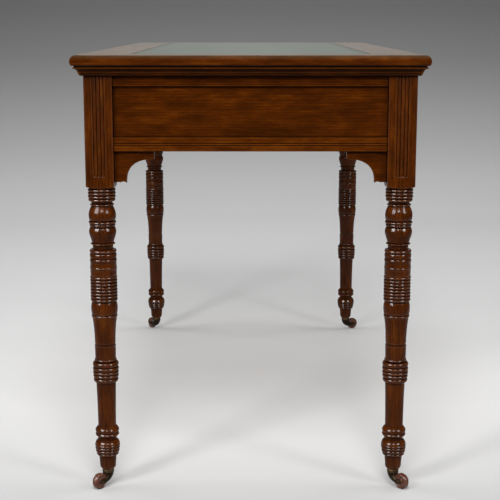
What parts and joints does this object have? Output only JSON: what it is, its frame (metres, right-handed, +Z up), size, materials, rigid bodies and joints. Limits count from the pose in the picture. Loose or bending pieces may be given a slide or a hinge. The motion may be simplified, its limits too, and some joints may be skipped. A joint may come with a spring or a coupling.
{
  "type": "writing table",
  "caption": "Leather-topped writing table with moulded edges, frieze drawers and reeded, ring-turned legs on swivelling castors.",
  "frame": {"origin": "on the floor, under the middle of the top", "axes": "+X along the long side to the right of someone facing the drawers, +Y from the drawer side to the back, +Z up"},
  "size_m": [1.198, 0.598, 0.765],
  "materials": {
    "polished_walnut": "dark red-brown hardwood, wax polished to a soft gloss",
    "oak_lining": "unpolished pale hardwood, planed",
    "green_leather": "fine-grained hide with a tooled border line, worn satin",
    "aged_brass": "cast, dulled and darkened with age",
    "wheel_wood": "turned dark red-brown hardwood, worn on the tread"
  },
  "bodies": {
    "table": {"top_board": "polished_walnut", "writing_leather": "green_leather", "top_moulding_front": "polished_walnut", "top_moulding_right": "polished_walnut", "top_moulding_back": "oak_lining", "top_moulding_left": "polished_walnut", "leg_front_right": "polished_walnut", "leg_back_right": "polished_walnut", "leg_back_left": "polished_walnut", "leg_front_left": "polished_walnut", "front_top_rail": "polished_walnut", "right_top_rail": "polished_walnut", "back_top_rail": "polished_walnut", "left_top_rail": "polished_walnut", "front_bottom_rail": "polished_walnut", "right_bottom_rail": "polished_walnut", "back_bottom_rail": "polished_walnut", "left_bottom_rail": "polished_walnut", "right_panel": "polished_walnut", "back_panel": "polished_walnut", "left_panel": "polished_walnut", "drawer_divider": "polished_walnut", "centre_runner": "oak_lining", "left_runner": "oak_lining", "right_runner": "oak_lining", "bracket_front_left": "polished_walnut", "bracket_front_right": "polished_walnut", "bracket_right_front": "polished_walnut", "bracket_right_back": "oak_lining", "bracket_back_right": "polished_walnut", "bracket_back_left": "polished_walnut", "bracket_left_back": "oak_lining", "bracket_left_front": "polished_walnut", "castor_plate_front_right": "aged_brass", "castor_plate_back_right": "aged_brass", "castor_plate_back_left": "aged_brass", "castor_plate_front_left": "aged_brass"},
    "drawer_left": {"drawer_left_front": "polished_walnut", "drawer_left_left_side": "oak_lining", "drawer_left_right_side": "oak_lining", "drawer_left_bottom": "oak_lining", "drawer_left_back": "oak_lining", "drawer_left_left_knob": "polished_walnut", "drawer_left_right_knob": "polished_walnut"},
    "drawer_right": {"drawer_right_front": "polished_walnut", "drawer_right_left_side": "oak_lining", "drawer_right_right_side": "oak_lining", "drawer_right_bottom": "oak_lining", "drawer_right_back": "oak_lining", "drawer_right_left_knob": "polished_walnut", "drawer_right_right_knob": "polished_walnut"},
    "castor_horn_front_right": {"castor_horn_front_right": "aged_brass"},
    "castor_wheel_front_right": {"castor_wheel_front_right": "wheel_wood"},
    "castor_horn_back_right": {"castor_horn_back_right": "aged_brass"},
    "castor_wheel_back_right": {"castor_wheel_back_right": "wheel_wood"},
    "castor_horn_back_left": {"castor_horn_back_left": "aged_brass"},
    "castor_wheel_back_left": {"castor_wheel_back_left": "wheel_wood"},
    "castor_horn_front_left": {"castor_horn_front_left": "aged_brass"},
    "castor_wheel_front_left": {"castor_wheel_front_left": "wheel_wood"}
  },
  "joints": [
    {"name": "drawer_left_slide", "type": "slide", "parent": "table", "child": "drawer_left", "axis": [0, -1, 0], "range_m": [0, 0.4]},
    {"name": "drawer_right_slide", "type": "slide", "parent": "table", "child": "drawer_right", "axis": [0, -1, 0], "range_m": [0, 0.4]},
    {"name": "castor_swivel_front_right", "type": "hinge", "parent": "table", "child": "castor_horn_front_right", "pos_m": [0.5555, -0.2555, 0.02894], "axis": [0, 0, 1], "continuous": true},
    {"name": "castor_swivel_back_right", "type": "hinge", "parent": "table", "child": "castor_horn_back_right", "pos_m": [0.5555, 0.2555, 0.02894], "axis": [0, 0, 1], "continuous": true},
    {"name": "castor_swivel_back_left", "type": "hinge", "parent": "table", "child": "castor_horn_back_left", "pos_m": [-0.5555, 0.2555, 0.02894], "axis": [0, 0, 1], "continuous": true},
    {"name": "castor_swivel_front_left", "type": "hinge", "parent": "table", "child": "castor_horn_front_left", "pos_m": [-0.5555, -0.2555, 0.02894], "axis": [0, 0, 1], "continuous": true},
    {"name": "castor_roll_front_right", "type": "hinge", "parent": "castor_horn_front_right", "child": "castor_wheel_front_right", "pos_m": [0.57172, -0.26911, 0.01412], "axis": [0.6428, 0.766, 0], "continuous": true},
    {"name": "castor_roll_back_right", "type": "hinge", "parent": "castor_horn_back_right", "child": "castor_wheel_back_right", "pos_m": [0.57123, 0.26966, 0.01412], "axis": [-0.6691, 0.7431, 0], "continuous": true},
    {"name": "castor_roll_back_left", "type": "hinge", "parent": "castor_horn_back_left", "child": "castor_wheel_back_left", "pos_m": [-0.56544, 0.27419, 0.01412], "axis": [-0.8829, -0.4695, 0], "continuous": true},
    {"name": "castor_roll_front_left", "type": "hinge", "parent": "castor_horn_front_left", "child": "castor_wheel_front_left", "pos_m": [-0.57172, -0.26911, 0.01412], "axis": [0.6428, -0.766, 0], "continuous": true}
  ]
}
